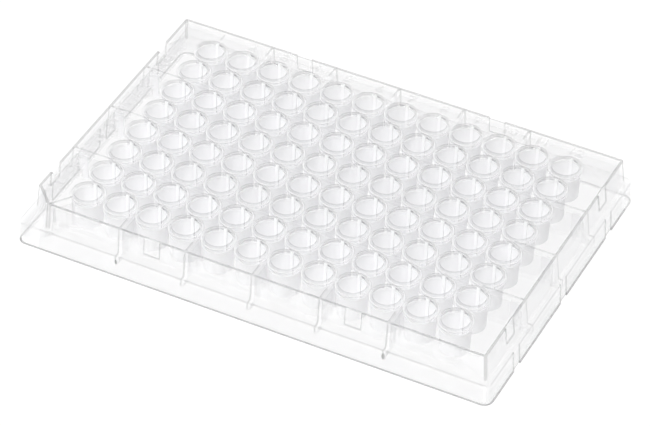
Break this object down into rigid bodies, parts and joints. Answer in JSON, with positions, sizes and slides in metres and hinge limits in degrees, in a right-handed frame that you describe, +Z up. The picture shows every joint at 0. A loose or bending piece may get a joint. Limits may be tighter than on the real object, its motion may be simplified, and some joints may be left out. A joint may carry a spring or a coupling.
{
  "type": "well plate",
  "caption": "Low clear microplate with a grid of round flat-bottomed wells, hollow underside, ledged skirt and one bevelled corner.",
  "frame": {"origin": "middle of the footprint, on the plane that the plate stands on", "axes": "+X along the columns' numbers from 1 to 12, +Y from row H towards row A, +Z up out of the wells"},
  "size_m": [0.1278, 0.0854, 0.013],
  "materials": {
    "clear_plastic": "clear colourless moulded plastic, smooth and glossy"
  },
  "bodies": {
    "root": {"well_plate": "clear_plastic"}
  },
  "joints": []
}
